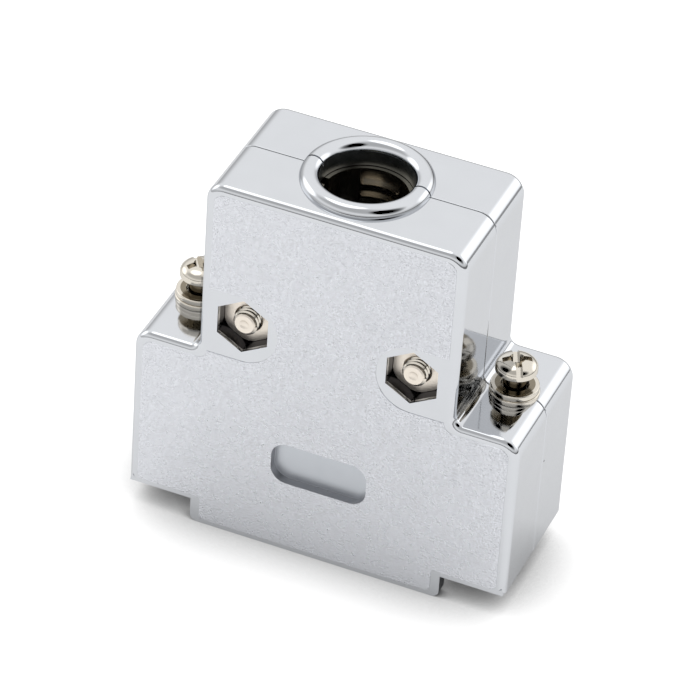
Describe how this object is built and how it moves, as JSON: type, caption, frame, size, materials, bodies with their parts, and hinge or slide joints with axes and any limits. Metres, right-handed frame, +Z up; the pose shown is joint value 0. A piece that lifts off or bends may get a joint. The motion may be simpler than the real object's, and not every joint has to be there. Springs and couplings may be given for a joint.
{
  "type": "d-sub connector hood",
  "caption": "Split metal hood for a D-sub cable connector, with a collared cable entry, nut-fastened case screws, an inner strap clamp and captive jackscrews that slide and turn.",
  "frame": {"origin": "bottom centre of the standing hood: on the parting plane of the shells, midway between the jackscrews, level with the lower edge of the lips", "axes": "+Z up, out of the cable entry; +X across the width, to the right when the face with the hexagon pockets is looked at; that front face looks towards -Y"},
  "size_m": [0.0404, 0.0154, 0.042],
  "materials": {
    "shell_plate": "bright nickel plate over cast zinc: mirror gloss on top, shoulders and sides, fine satin grain on the front and back panels",
    "screw_steel": "bright nickel-plated steel, slightly warm",
    "clamp_steel": "nickel-plated sheet steel"
  },
  "bodies": {
    "hood": {"front_shell": "shell_plate", "rear_shell": "shell_plate", "front_clamp_strap": "clamp_steel", "rear_clamp_strap": "clamp_steel", "left_clamp_screw": "screw_steel", "right_clamp_screw": "screw_steel", "left_clamp_nut": "screw_steel", "right_clamp_nut": "screw_steel", "left_case_screw": "screw_steel", "right_case_screw": "screw_steel", "left_case_nut": "screw_steel", "right_case_nut": "screw_steel", "left_spring_washer": "screw_steel", "right_spring_washer": "screw_steel", "left_flat_washer": "screw_steel", "right_flat_washer": "screw_steel"},
    "left_ring": {"left_retaining_ring": "screw_steel"},
    "left_screw": {"left_jackscrew": "screw_steel"},
    "right_ring": {"right_retaining_ring": "screw_steel"},
    "right_screw": {"right_jackscrew": "screw_steel"}
  },
  "joints": [
    {"name": "left_jack_slide", "type": "slide", "parent": "hood", "child": "left_ring", "axis": [0, 0, 1], "range_m": [-0.00152, 0.00395]},
    {"name": "left_jack_spin", "type": "hinge", "parent": "left_ring", "child": "left_screw", "pos_m": [-0.01665, 0, 0.01575], "axis": [0, 0, 1], "continuous": true},
    {"name": "right_jack_slide", "type": "slide", "parent": "hood", "child": "right_ring", "axis": [0, 0, 1], "range_m": [-0.00152, 0.00395]},
    {"name": "right_jack_spin", "type": "hinge", "parent": "right_ring", "child": "right_screw", "pos_m": [0.01665, 0, 0.01575], "axis": [0, 0, 1], "continuous": true}
  ]
}
